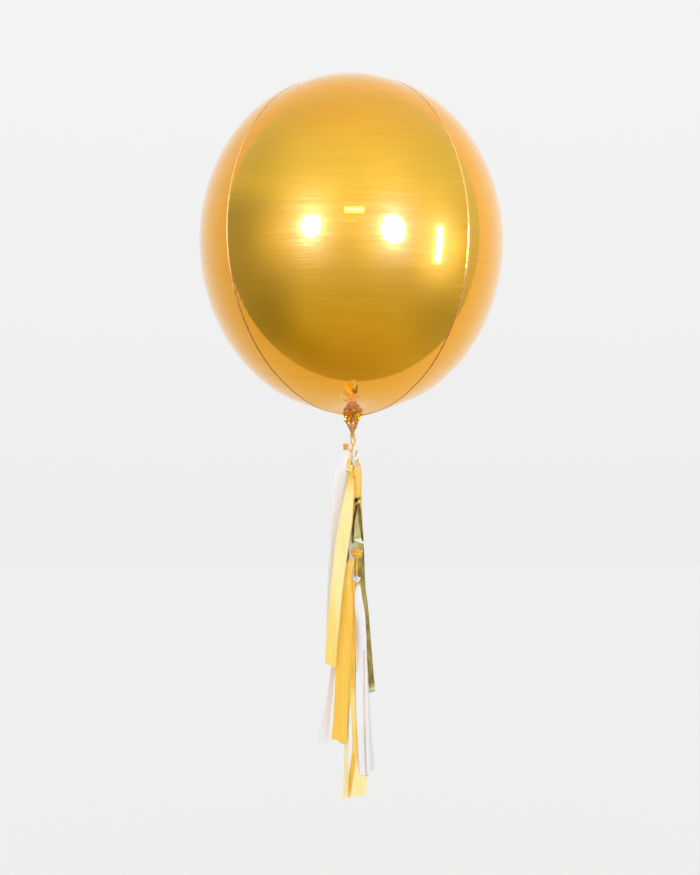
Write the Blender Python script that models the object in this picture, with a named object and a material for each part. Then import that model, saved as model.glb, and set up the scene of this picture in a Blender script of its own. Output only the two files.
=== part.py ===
"""A sphere foil balloon that floats upright, with a cord and six tassels hanging from its neck.

Metres, +Z up, the front towards -Y. The origin is the middle of the neck, where the cord is tied
round it.
"""

import math
from dataclasses import dataclass

import bmesh
import bpy
from mathutils import Matrix, Vector

# The envelope
BALLOON_WIDTH = 0.510
CROWN_RISE = 0.283
FOOT_DROP = 0.290
GORES = 4
SEAM_HEIGHT = 0.0025
SEAM_WIDTH = 0.0022
GORE_FULLNESS = 0.010
SEAM_YAW = math.radians(-2.0)
BALLOON_LEAN = math.radians(-1.0)
BALLOON_SHIFT = -0.002

# The filling neck, gathered towards the tie
NECK_LENGTH = 0.034
NECK_WIDTH = 0.031
NECK_DEPTH = 0.016
NECK_TIED_WIDTH = 0.0062
NECK_PLEATS = 7
NECK_PLEAT_SHARE = 0.14

# The cord
CORD_DIAMETER = 0.003
GAP = 0.0003
WINDINGS = 2
WINDING_PITCH = CORD_DIAMETER * 0.85
LOOP_HEIGHT = 0.0175
LOOP_WIDTH = 0.0085
JOIN_KNOT_DROP = 0.0275
JOIN_KNOT_SIZE = 0.0058
SIDE_KNOT = (-0.0115, -0.0030, -0.0195)
SIDE_KNOT_SIZE = (0.0078, 0.0066, 0.0130)

# The hanging cord's route, from the join knot down to the last tassel
CORD_ROUTE = (
    (-0.0017, 0.0000, -0.0309),
    (-0.0016, 0.0000, -0.0450),
    (-0.0010, 0.0000, -0.0640),
    (0.0012, 0.0000, -0.0850),
    (0.0056, 0.0000, -0.1080),
    (0.0068, 0.0000, -0.1350),
    (0.0064, 0.0000, -0.1650),
    (0.0062, 0.0000, -0.1980),
    (0.0068, 0.0000, -0.2250),
    (0.0070, 0.0000, -0.2450),
    (0.0062, 0.0000, -0.2680),
)
CORD_STEP = 0.0065

# Strips of tissue and foil
TISSUE_THICKNESS = 0.0014
FOIL_THICKNESS = 0.0011
ROOT_WIDTH = 0.0060
ROOT_DEPTH = 0.0038
ROOT_STAGGER = 0.0003
SPREAD_LENGTH = 0.030
LAYER_LENGTH = 0.012
STRIP_STEPS = 11


@dataclass
class Strip:
    """One hanging strip: where its lower end is, as seen from its tassel's knot."""

    drop: float
    drift: float
    depth: float
    width: float
    tip: float
    ease: float = 1.2
    root: float = 0.0
    bow: float = 0.0
    turn: float = 0.0
    slant: float = 0.0


@dataclass
class Tassel:
    """A knot on the cord at a height below the tie, with its size across, deep and high."""

    name: str
    drop: float
    shift: float
    size: tuple
    lobes: int
    finish: str
    strips: list


TASSELS = (
    Tassel(
        "tassel_white_upper",
        drop=0.0435,
        shift=0.0005,
        size=(0.0180, 0.0130, 0.0200),
        lobes=5,
        finish="white_tissue",
        strips=[
            Strip(0.300, -0.0385, -0.0055, 0.0150, 0.0120, ease=5.0, root=-0.004, turn=0.15, slant=-0.006),
            Strip(0.286, -0.0290, 0.0060, 0.0130, 0.0120, ease=5.0, root=-0.004, turn=-0.15, slant=0.004),
            Strip(0.293, -0.0420, 0.0120, 0.0140, 0.0120, ease=4.5, root=-0.004, turn=0.15, slant=0.005),
            Strip(0.270, -0.0310, 0.0180, 0.0150, 0.0140, ease=4.0, root=-0.004, turn=-0.1, slant=-0.004),
        ],
    ),
    Tassel(
        "tassel_yellow",
        drop=0.0620,
        shift=0.0020,
        size=(0.0140, 0.0130, 0.0160),
        lobes=4,
        finish="yellow_tissue",
        strips=[
            Strip(0.324, -0.0385, -0.0175, 0.0225, 0.0190, ease=1.3, turn=-0.1, slant=-0.011),
            Strip(0.300, -0.0300, -0.0125, 0.0160, 0.0150, ease=1.3, turn=0.1, slant=0.006),
            Strip(0.235, 0.0050, 0.0262, 0.0120, 0.0120, ease=2.0, turn=0.1, slant=0.004),
            Strip(0.310, -0.0080, 0.0296, 0.0180, 0.0160, ease=1.5, turn=-0.1, slant=-0.006),
        ],
    ),
    Tassel(
        "tassel_gold_foil",
        drop=0.1100,
        shift=0.0028,
        size=(0.0120, 0.0120, 0.0170),
        lobes=4,
        finish="gold_foil",
        strips=[
            Strip(0.074, 0.0010, -0.0075, 0.0160, 0.0170, ease=2.0, turn=0.1, slant=-0.010),
            Strip(0.322, 0.0230, 0.0175, 0.0120, 0.0100, ease=1.2, root=0.002, turn=0.1, slant=-0.004),
            Strip(0.290, -0.0040, 0.0228, 0.0110, 0.0100, ease=1.2, turn=-0.1, slant=0.004),
            Strip(0.305, 0.0140, 0.0203, 0.0120, 0.0110, ease=1.4, turn=0.1, slant=-0.005),
        ],
    ),
    Tassel(
        "tassel_orange",
        drop=0.1990,
        shift=0.0010,
        size=(0.0205, 0.0150, 0.0180),
        lobes=6,
        finish="orange_tissue",
        strips=[
            Strip(0.315, -0.0340, -0.0105, 0.0140, 0.0150, ease=1.2, root=-0.008, turn=0.1, slant=-0.006),
            Strip(0.322, -0.0240, -0.0090, 0.0150, 0.0150, ease=1.8, root=-0.007, turn=-0.1, slant=-0.007),
            Strip(0.300, -0.0260, 0.0152, 0.0150, 0.0130, ease=1.3, root=-0.003, turn=0.05, slant=0.005),
            Strip(0.310, -0.0080, 0.0181, 0.0160, 0.0150, ease=1.4, root=-0.002, turn=-0.05, slant=0.006),
        ],
    ),
    Tassel(
        "tassel_white_lower",
        drop=0.2450,
        shift=0.0015,
        size=(0.0125, 0.0130, 0.0150),
        lobes=5,
        finish="white_tissue",
        strips=[
            Strip(0.329, 0.0190, -0.0110, 0.0130, 0.0150, ease=0.9, root=0.002, bow=0.003, turn=-0.1, slant=0.003),
            Strip(0.331, 0.0090, -0.0095, 0.0120, 0.0130, ease=0.9, root=0.002, turn=0.1, slant=-0.004),
            Strip(0.305, -0.0640, 0.0076, 0.0110, 0.0150, ease=1.2, turn=0.1, slant=0.010),
            Strip(0.322, 0.0240, 0.0102, 0.0110, 0.0120, ease=0.8, root=0.002, turn=-0.1, slant=-0.006),
            Strip(0.300, 0.0070, 0.0128, 0.0120, 0.0130, ease=1.1, root=0.002, turn=0.05, slant=0.005),
        ],
    ),
    Tassel(
        "tassel_yellow_lower",
        drop=0.2690,
        shift=0.0000,
        size=(0.0125, 0.0110, 0.0160),
        lobes=4,
        finish="yellow_tissue",
        strips=[
            Strip(0.347, -0.0220, -0.0040, 0.0080, 0.0060, ease=1.3, root=-0.002, turn=0.15, slant=-0.004),
            Strip(0.337, 0.0000, -0.0045, 0.0110, 0.0300, ease=1.0, bow=-0.002, turn=-0.08, slant=0.006),
            Strip(0.325, -0.0140, 0.0046, 0.0130, 0.0120, ease=1.3, turn=-0.05, slant=0.006),
            Strip(0.335, -0.0020, 0.0050, 0.0150, 0.0150, ease=1.2, turn=0.05, slant=-0.005),
        ],
    ),
)

# Faces round and along the solids
GORE_STEPS = 12
CROWN_STEPS = 13
FOOT_STEPS = 13
NECK_STEPS = 6
HEAD_COLUMNS = 14
HEAD_ROWS = 9
TURN_STEPS = 16
KNOT_COLUMNS = 10
KNOT_ROWS = 7

# Colours, each with its roughness and metallic value
FINISHES = {
    "gold_mirror_film": ((0.93, 0.57, 0.16), 0.05, 1.0),
    "gold_cord": ((0.74, 0.45, 0.12), 0.35, 0.8),
    "white_tissue": ((0.84, 0.80, 0.79), 0.75, 0.0),
    "yellow_tissue": ((0.97, 0.78, 0.34), 0.75, 0.0),
    "orange_tissue": ((0.97, 0.60, 0.15), 0.75, 0.0),
    "gold_foil": ((0.55, 0.44, 0.20), 0.22, 1.0),
}


def clear_scene():
    for obj in list(bpy.data.objects):
        bpy.data.objects.remove(obj, do_unlink=True)


def finish(name):
    """The material of that name, made on its first use."""
    if name in bpy.data.materials:
        return bpy.data.materials[name]
    colour, roughness, metallic = FINISHES[name]
    material = bpy.data.materials.new(name)
    material.use_nodes = True
    shader = material.node_tree.nodes["Principled BSDF"]
    shader.inputs["Base Color"].default_value = (*colour, 1.0)
    shader.inputs["Roughness"].default_value = roughness
    shader.inputs["Metallic"].default_value = metallic
    return material


def add_object(name, data, finish_name, helper=False):
    obj = bpy.data.objects.new(name, data)
    bpy.context.scene.collection.objects.link(obj)
    data.materials.append(finish(finish_name))
    if helper:
        obj.hide_render = True
        obj.display_type = "WIRE"
    return obj


def loft(rings, first_tip=None, last_tip=None):
    """A closed mesh over rings of points, each end closed by a tip or by a flat face."""
    bm = bmesh.new()
    rows = [[bm.verts.new(point) for point in ring] for ring in rings]
    for upper, lower in zip(rows, rows[1:]):
        count = len(upper)
        for i in range(count):
            j = (i + 1) % count
            bm.faces.new((upper[i], upper[j], lower[j], lower[i]))
    for row, tip in ((rows[0], first_tip), (rows[-1], last_tip)):
        if tip is None:
            bm.faces.new(row)
            continue
        point = bm.verts.new(tip)
        for i in range(len(row)):
            bm.faces.new((row[i], row[(i + 1) % len(row)], point))
    bmesh.ops.recalc_face_normals(bm, faces=bm.faces)
    mesh = bpy.data.meshes.new("loft")
    bm.to_mesh(mesh)
    bm.free()
    return mesh


def shade_round(mesh, angle=math.radians(35)):
    mesh.shade_smooth()
    mesh.set_sharp_from_angle(angle=angle)


def smooth_step(t):
    t = min(max(t, 0.0), 1.0)
    return t * t * (3.0 - 2.0 * t)


def gore_columns():
    """The loft's columns as (angle, offset along the skin, share of the seam's height, fullness)."""
    columns = []
    gore = math.tau / GORES
    for g in range(GORES):
        seam = gore * (g + 0.5) + SEAM_YAW
        columns.append((seam, -SEAM_WIDTH / 2, 0.0, 1.0))
        columns.append((seam, 0.0, 1.0, 1.0))
        columns.append((seam, SEAM_WIDTH / 2, 0.0, 1.0))
        for i in range(1, GORE_STEPS):
            from_middle = abs(2.0 * i / GORE_STEPS - 1.0)
            columns.append((seam + gore * i / GORE_STEPS, 0.0, 0.0, from_middle**5))
    return columns


def envelope_profile():
    """Rows from the crown to the foot, as (radius, height over the tie)."""
    equator = NECK_LENGTH + FOOT_DROP
    rows = []
    for i in range(1, CROWN_STEPS + 1):
        t = math.pi / 2 * i / CROWN_STEPS
        rows.append((BALLOON_WIDTH / 2 * math.sin(t), equator + CROWN_RISE * math.cos(t)))
    shoulder = math.acos(NECK_WIDTH / BALLOON_WIDTH)
    for i in range(1, FOOT_STEPS + 1):
        t = shoulder * i / FOOT_STEPS
        rows.append((BALLOON_WIDTH / 2 * math.cos(t), equator - FOOT_DROP * math.sin(t)))
    return rows


def neck_ring(share, height, columns):
    """A pleated ring of the neck, gathered by that share of the way from the foot to the tie."""
    gathered = smooth_step(share)
    width = NECK_WIDTH + (NECK_TIED_WIDTH - NECK_WIDTH) * gathered
    depth = NECK_DEPTH + (NECK_TIED_WIDTH - NECK_DEPTH) * gathered
    ring = []
    for angle, offset, _, _ in columns:
        a = angle + 2.0 * offset / NECK_WIDTH
        pleat = 1.0 + NECK_PLEAT_SHARE * math.sin(NECK_PLEATS * a + 2.0 * share)
        ring.append(
            Vector((width / 2 * pleat * math.sin(a), -depth / 2 * pleat * math.cos(a), height))
        )
    return ring


def make_balloon():
    columns = gore_columns()
    equator = Vector((BALLOON_SHIFT, 0.0, NECK_LENGTH + FOOT_DROP))
    lean = Matrix.Rotation(BALLOON_LEAN, 3, "Y")
    rings = []
    for radius, height in envelope_profile():
        ring = []
        for angle, offset, seam, fullness in columns:
            tapered = smooth_step(radius / (BALLOON_WIDTH / 4))
            a = angle + offset / max(radius, SEAM_WIDTH)
            r = radius * (1.0 + GORE_FULLNESS * fullness) + SEAM_HEIGHT * seam * tapered
            place = Vector((r * math.sin(a), -r * math.cos(a), height - equator.z))
            ring.append(equator + lean @ place)
        rings.append(ring)
    crown = equator + lean @ Vector((0.0, 0.0, CROWN_RISE))
    foot = rings[-1]
    middle = sum(foot, Vector()) / len(foot)
    tied_top = WINDING_PITCH * (WINDINGS - 1) + CORD_DIAMETER / 2 + GAP
    for i in range(1, NECK_STEPS + 1):
        share = i / NECK_STEPS
        height = NECK_LENGTH + (tied_top - NECK_LENGTH) * share
        sideways = Vector((middle.x * (1.0 - smooth_step(share)), 0.0, 0.0))
        rings.append([point + sideways for point in neck_ring(share, height, columns)])
    rings.append(neck_ring(1.0, -CORD_DIAMETER / 2, columns))
    mesh = loft(rings, first_tip=crown)
    shade_round(mesh)
    return add_object("balloon", mesh, "gold_mirror_film")


def smooth_route(points, step):
    """Points about that step apart on a smooth curve through the given ones."""
    points = [Vector(p) for p in points]
    ends = [2 * points[0] - points[1], *points, 2 * points[-1] - points[-2]]
    dense = []
    for before, a, b, after in zip(ends, ends[1:], ends[2:], ends[3:]):
        for i in range(24):
            t = i / 24
            dense.append(
                0.5
                * (
                    2 * a
                    + (b - before) * t
                    + (2 * before - 5 * a + 4 * b - after) * t**2
                    + (3 * a - before - 3 * b + after) * t**3
                )
            )
    dense.append(points[-1])
    lengths = [0.0]
    for a, b in zip(dense, dense[1:]):
        lengths.append(lengths[-1] + (b - a).length)
    count = max(2, round(lengths[-1] / step))
    route = []
    k = 0
    for i in range(count + 1):
        wanted = lengths[-1] * i / count
        while k < len(dense) - 2 and lengths[k + 1] < wanted:
            k += 1
        share = (wanted - lengths[k]) / (lengths[k + 1] - lengths[k])
        route.append(dense[k].lerp(dense[k + 1], min(share, 1.0)))
    return route


def tube(name, route, diameter, finish_name, helper=False, closed=False):
    """A round tube along a route: a POLY spline with a bevel and filled caps."""
    curve = bpy.data.curves.new(name, "CURVE")
    curve.dimensions = "3D"
    curve.bevel_depth = diameter / 2
    curve.bevel_resolution = 2
    curve.use_fill_caps = True
    spline = curve.splines.new("POLY")
    spline.points.add(len(route) - 1)
    for point, place in zip(spline.points, route):
        point.co = (*place, 1.0)
    spline.use_cyclic_u = closed
    return add_object(name, curve, finish_name, helper)


def as_mesh(name, tube_object):
    """A hidden mesh object with the shape of a tube, for a Boolean to use."""
    graph = bpy.context.evaluated_depsgraph_get()
    mesh = bpy.data.meshes.new_from_object(tube_object.evaluated_get(graph))
    finish_name = tube_object.data.materials[0].name
    bpy.data.objects.remove(tube_object, do_unlink=True)
    mesh.materials.clear()
    return add_object(name, mesh, finish_name, helper=True)


def join_with(obj, other, operation="UNION"):
    modifier = obj.modifiers.new(other.name, "BOOLEAN")
    modifier.operation = operation
    modifier.object = other
    modifier.solver = "EXACT"


def knot_mesh(centre, size, columns, rows, lobes, lobe_share):
    """A closed, slightly lobed ball, such as a pulled knot."""
    centre = Vector(centre)
    half = Vector(size) / 2
    rings = []
    for i in range(1, rows):
        t = math.pi * i / rows
        ring = []
        for j in range(columns):
            a = math.tau * j / columns
            r = math.sin(t) * (1.0 + lobe_share * math.sin(t) * math.cos(lobes * a + 2.5 * t))
            ring.append(
                centre + Vector((half.x * r * math.cos(a), half.y * r * math.sin(a), half.z * math.cos(t)))
            )
        rings.append(ring)
    top = centre + Vector((0.0, 0.0, half.z))
    bottom = centre - Vector((0.0, 0.0, half.z))
    mesh = loft(rings, first_tip=top, last_tip=bottom)
    shade_round(mesh, math.radians(60))
    return mesh


def make_neck_tie_knot():
    """The cord wound twice round the neck, its loop, its side knot and the knot that joins them."""
    neck = NECK_TIED_WIDTH / 2 * (1.0 + NECK_PLEAT_SHARE)
    turn = neck + GAP + CORD_DIAMETER / 2
    windings = []
    for k in range(WINDINGS):
        ring = [
            Vector((turn * math.cos(a), turn * math.sin(a), k * WINDING_PITCH))
            for a in (math.tau * i / TURN_STEPS for i in range(TURN_STEPS))
        ]
        windings.append(as_mesh(f"winding_{k}", tube("winding", ring, CORD_DIAMETER, "gold_cord", closed=True)))
    join = Vector((CORD_ROUTE[0][0], CORD_ROUTE[0][1], -JOIN_KNOT_DROP))
    loop_top = -CORD_DIAMETER * 0.55
    loop_middle = loop_top - LOOP_HEIGHT / 2
    loop_half = (LOOP_WIDTH - CORD_DIAMETER) / 2
    loop = [
        Vector((0.001 + loop_half * math.sin(a), -turn, loop_middle + LOOP_HEIGHT / 2 * math.cos(a)))
        for a in (math.tau * i / TURN_STEPS for i in range(TURN_STEPS))
    ]
    loop_bottom = Vector((0.001, -turn, loop_middle - LOOP_HEIGHT / 2))
    side = Vector(SIDE_KNOT)
    pieces = [
        *windings[1:],
        as_mesh("neck_loop", tube("loop", loop, CORD_DIAMETER, "gold_cord", closed=True)),
        as_mesh("loop_link", tube("link", [loop_bottom, join], CORD_DIAMETER, "gold_cord")),
        as_mesh("side_link", tube("link", [side, join], CORD_DIAMETER, "gold_cord")),
        add_object("side_knot", knot_mesh(side, SIDE_KNOT_SIZE, KNOT_COLUMNS, KNOT_ROWS, 3, 0.12), "gold_cord", helper=True),
        add_object(
            "join_knot", knot_mesh(join, [JOIN_KNOT_SIZE] * 3, KNOT_COLUMNS, KNOT_ROWS, 3, 0.08), "gold_cord", helper=True
        ),
    ]
    mesh = windings[0].data.copy()
    bpy.data.objects.remove(windings[0], do_unlink=True)
    mesh.materials.clear()
    knot = add_object("neck_tie_knot", mesh, "gold_cord")
    for piece in pieces:
        join_with(knot, piece)
    return knot


def make_tail_cord():
    start = Vector(CORD_ROUTE[0])
    start.z = min(start.z, -JOIN_KNOT_DROP - JOIN_KNOT_SIZE / 2 - GAP)
    route = smooth_route([start, *CORD_ROUTE[1:]], CORD_STEP)
    return tube("tail_cord", route, CORD_DIAMETER, "gold_cord")


def cord_point(height):
    """The place on the cord's route at that height."""
    route = smooth_route(CORD_ROUTE, CORD_STEP)
    for a, b in zip(route, route[1:]):
        if b.z <= height <= a.z:
            return a.lerp(b, (a.z - height) / (a.z - b.z))
    return route[0] if height > route[0].z else route[-1]


def strip_mesh(strip, knot, thickness, order):
    """A long closed ribbon from the tassel's knot down to its cut end."""
    stagger = ROOT_STAGGER * order
    side = math.copysign(ROOT_DEPTH + stagger, strip.depth)
    rings = []
    for i in range(STRIP_STEPS + 1):
        t = (i / STRIP_STEPS) ** 1.4
        down = strip.drop * t - 2.0 * stagger * (1.0 - t)
        moved = 1.0 - (1.0 - t) ** strip.ease
        root = strip.root - stagger
        x = root + (strip.drift - root) * moved + strip.bow * math.sin(math.pi * t)
        y = side + (strip.depth - side) * (1.0 - math.exp(-max(down, 0.0) / LAYER_LENGTH))
        spread = 1.0 - math.exp(-max(down, 0.0) / SPREAD_LENGTH)
        full = strip.width + (strip.tip - strip.width) * smooth_step((t - 0.7) / 0.3)
        width = ROOT_WIDTH + (full - ROOT_WIDTH) * spread
        angle = strip.turn * math.sin(2.2 * t + 0.4) * spread
        across = Vector((math.cos(angle), math.sin(angle), 0.0))
        through = Vector((-math.sin(angle), math.cos(angle), 0.0)) * thickness / 2
        middle = knot + Vector((x, y, -down))
        cut = Vector((0.0, 0.0, strip.slant / 2 * smooth_step((t - 0.8) / 0.2)))
        left = middle - across * width / 2 - cut
        right = middle + across * width / 2 + cut
        rings.append([left - through, right - through, right + through, left + through])
    return loft(rings)


def make_tassel(tassel, tunnel):
    """A tassel: its knot, drilled for the cord, and the strips that hang from it."""
    knot = cord_point(-tassel.drop)
    centre = knot + Vector((tassel.shift, 0.0, 0.0))
    mesh = knot_mesh(centre, tassel.size, HEAD_COLUMNS, HEAD_ROWS, tassel.lobes, 0.10)
    obj = add_object(tassel.name, mesh, tassel.finish)
    join_with(obj, tunnel, "DIFFERENCE")
    thickness = FOIL_THICKNESS if tassel.finish == "gold_foil" else TISSUE_THICKNESS
    for i, strip in enumerate(tassel.strips):
        ribbon = strip_mesh(strip, knot, thickness, i)
        join_with(obj, add_object(f"{tassel.name}_strip_{i}", ribbon, tassel.finish, helper=True))
    return obj


def make_tunnel():
    """The cord's path with its clearance, which the tassels' knots are drilled by."""
    past_end = Vector(CORD_ROUTE[-1]) - Vector((0.0, 0.0, GAP))
    route = smooth_route([*CORD_ROUTE, past_end], CORD_STEP)
    drill = tube("drill", route, CORD_DIAMETER + 2 * GAP, "gold_cord")
    return as_mesh("cord_tunnel", drill)


def build():
    clear_scene()
    make_balloon()
    make_neck_tie_knot()
    make_tail_cord()
    tunnel = make_tunnel()
    for tassel in TASSELS:
        make_tassel(tassel, tunnel)


build()
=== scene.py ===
"""The looks of a gold sphere foil balloon with a knotted cord and a tail of six tassels."""

import math
import random
from dataclasses import dataclass

import bpy
import numpy as np
from mathutils import Matrix, Vector, noise


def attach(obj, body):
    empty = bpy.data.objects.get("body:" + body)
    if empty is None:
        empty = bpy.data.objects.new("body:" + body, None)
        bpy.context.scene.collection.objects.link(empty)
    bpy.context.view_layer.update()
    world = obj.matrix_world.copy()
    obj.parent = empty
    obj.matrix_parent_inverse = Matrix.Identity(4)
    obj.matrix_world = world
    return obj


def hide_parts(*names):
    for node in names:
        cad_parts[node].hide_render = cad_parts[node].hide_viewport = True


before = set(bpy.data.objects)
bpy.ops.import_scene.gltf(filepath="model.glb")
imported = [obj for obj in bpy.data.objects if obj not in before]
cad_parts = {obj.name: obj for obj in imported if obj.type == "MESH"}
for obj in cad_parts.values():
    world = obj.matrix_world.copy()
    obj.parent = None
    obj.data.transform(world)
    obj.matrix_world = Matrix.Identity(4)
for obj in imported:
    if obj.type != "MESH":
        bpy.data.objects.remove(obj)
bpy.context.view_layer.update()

# The photograph's frame: its size in pixels, the pixel of the neck tie, and metres for one pixel there
IMAGE_WIDTH = 700
IMAGE_HEIGHT = 875
TIE_PIXEL = (352.5, 435.0)
PIXEL_SIZE = 0.001688
CAMERA_DISTANCE = 2.10
SENSOR = 36.0

# The envelope, as in the CAD
BALLOON_WIDTH = 0.510
CROWN_RISE = 0.283
FOOT_DROP = 0.290
GORES = 4
SEAM_YAW = math.radians(-2.0)
BALLOON_LEAN = math.radians(-1.0)
BALLOON_SHIFT = -0.002
NECK_LENGTH = 0.034
NECK_WIDTH = 0.031
NECK_TIED_WIDTH = 0.0054
EQUATOR = NECK_LENGTH + FOOT_DROP

# The cord and its route, as in the CAD
CORD_DIAMETER = 0.003
CORD_ROUTE = (
    (-0.0017, 0.0000, -0.0309),
    (-0.0016, 0.0000, -0.0450),
    (-0.0010, 0.0000, -0.0640),
    (0.0012, 0.0000, -0.0850),
    (0.0056, 0.0000, -0.1080),
    (0.0068, 0.0000, -0.1350),
    (0.0064, 0.0000, -0.1650),
    (0.0062, 0.0000, -0.1980),
    (0.0068, 0.0000, -0.2250),
    (0.0070, 0.0000, -0.2450),
    (0.0062, 0.0000, -0.2680),
)
JOIN_KNOT_DROP = 0.0275
JOIN_KNOT_SIZE = 0.0058
SIDE_KNOT = (-0.0115, -0.0030, -0.0195)
SIDE_KNOT_SIZE = (0.0108, 0.0090, 0.0130)
LOOP_HEIGHT = 0.0120
LOOP_WIDTH = 0.0095

# How the cord is laid: its step along a route, the windings round the neck, and the loop's place and shape
CORD_STEP = 0.0006
CORD_SEARCH_STEP = 0.0065
ROUTE_DENSITY = 24
WINDING_TURNS = 2.15
WINDING_STEPS = 120
WINDING_TOP = 0.7
LOOP_STEPS = 80
LOOP_SHIFT = 0.001
LOOP_SWING = 0.0008
LOOP_DROP_SHAPE = 0.25
SIDE_CORD_SAG = 0.001
ROPE_PITCH = 0.0075
ROPE_STRANDS = 3
ROPE_COLUMNS = 15
ROPE_GROOVE = 0.20
KNOT_STEPS = 90


@dataclass
class Ribbon:
    """A paper strip by its rows: the photograph's pixel height, middle and width there, and its tone. The
    tone holds the paper's own shades and also painted light and shade: high tones paint lit folds and
    highlights, low tones paint shade.
    """

    depth: float
    rows: tuple
    slant: float = 0.0
    layers: int = 3
    turn: float = 0.25


@dataclass
class Tassel:
    """A knot on the cord at a height below the tie, with its size across, deep and high.

    The tie's own knot, where it shows, is its pixel, its depth and its size.
    """

    node: str
    drop: float
    shift: float
    size: tuple
    slot: str
    ribbons: tuple
    loops: tuple = ()
    tie_knot: tuple = ()


WHITE_UPPER_STRIPS = (
    Ribbon(-0.0055, slant=-2, rows=(
        (453, 350, 4, 1.0), (461, 344.8, 9, 1.0), (469, 342.2, 12, 1.0), (478, 340.7, 13.4, 1.0),
        (488, 339.4, 13.2, 1.0), (500, 338, 12.2, 1.0), (515, 337, 11.2, 1.0), (530, 335.6, 9.8, 1.0),
        (560, 333.2, 9, 1.0), (600, 331.2, 8.5, 1.0), (637, 330.2, 8, 1.0),
    )),
    Ribbon(0.0060, slant=2, rows=(
        (455, 351.5, 3, 0.3), (466, 347.5, 8, 0.5), (480, 343, 10, 0.5), (500, 340.5, 10, 0.6),
        (530, 338, 10, 0.6), (570, 335, 9, 0.7), (628, 333, 9, 0.7),
    )),
    Ribbon(0.0120, slant=3, rows=(
        (456, 351, 4, 0.4), (470, 345, 9, 0.5), (485, 341, 10, 0.6), (505, 337, 10, 0.7),
        (540, 334.5, 9, 0.7), (590, 332.3, 8.5, 0.7), (630, 331.4, 7.5, 0.7),
    )),
    Ribbon(0.0180, slant=-2, rows=(
        (456, 352, 4, 0.4), (475, 346.5, 8, 0.4), (500, 341, 10, 0.5), (540, 338, 10, 0.6),
        (610, 334, 9, 0.7),
    )),
    Ribbon(-0.0060, layers=2, rows=(
        (470, 352.5, 2.5, 0.3), (500, 352.2, 3, 0.4), (530, 351, 3.5, 0.25), (560, 351.3, 4, 0.3),
        (600, 352.4, 4, 0.25), (640, 350.6, 3.5, 0.2), (668, 350, 3, 0.3),
    )),
)
YELLOW_STRIPS = (
    Ribbon(-0.0175, slant=4, turn=0.12, rows=(
        (472, 352, 4, 0.3), (478, 350.7, 5, 0.4), (485, 350.3, 6.5, 0.6), (491, 349.6, 8.5, 0.8),
        (497, 348.8, 9.5, 0.9), (512, 346.8, 11.8, 0.95), (525, 345, 13, 0.9), (535, 343.4, 13.4, 0.9),
        (550, 341.3, 13.4, 0.85), (565, 339.4, 12.8, 0.85), (590, 336.4, 12.2, 0.8), (615, 334.2, 12, 0.65),
        (645, 331.6, 11.4, 0.5), (665.5, 330.2, 10.6, 0.45),
    )),
    Ribbon(-0.0125, slant=5, rows=(
        (472, 352.5, 4, 0.2), (480, 351.5, 6, 0.3), (490, 351, 8, 0.3), (505, 349, 10, 0.3),
        (525, 346.1, 12.3, 0.3), (545, 342.6, 11.8, 0.25), (580, 337.5, 11.5, 0.25), (620, 333.6, 11.5, 0.2),
        (655, 331.2, 10.4, 0.2),
    )),
    Ribbon(-0.0072, layers=1, turn=0.1, rows=(
        (466, 357.5, 4, 0.5), (472, 357, 6.4, 0.5), (480, 356.8, 7.2, 0.6), (488, 357, 7, 0.5),
        (496, 357.4, 6.4, 0.5), (503, 358, 5, 0.4),
    )),
    Ribbon(-0.0060, layers=2, rows=(
        (452, 351.6, 2, 0.2), (460, 349.8, 2.8, 0.3), (470, 349.3, 3.2, 0.3), (480, 349.2, 4, 0.4),
        (490, 349, 6, 0.5), (500, 348.5, 6, 0.4),
    )),
    Ribbon(-0.0020, layers=2, rows=(
        (458, 356.5, 2.5, 0.3), (466, 359.2, 3.4, 0.3), (475, 359.7, 4, 0.4), (485, 359.2, 5, 0.5),
        (497, 358.9, 5.5, 0.4), (515, 359, 7, 0.2), (540, 359, 7.5, 0.2),
    )),
    Ribbon(0.0262, slant=3, rows=(
        (474, 355, 5, 0.4), (500, 357, 7, 0.4), (540, 357.5, 7, 0.5), (580, 357, 7, 0.5), (610, 357, 7, 0.5),
    )),
    Ribbon(0.0296, slant=-4, rows=(
        (474, 354.5, 6, 0.4), (510, 352.5, 10, 0.3), (560, 350.5, 10.5, 0.4), (610, 349.5, 10, 0.5),
        (654, 349, 9.5, 0.5),
    )),
)
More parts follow.
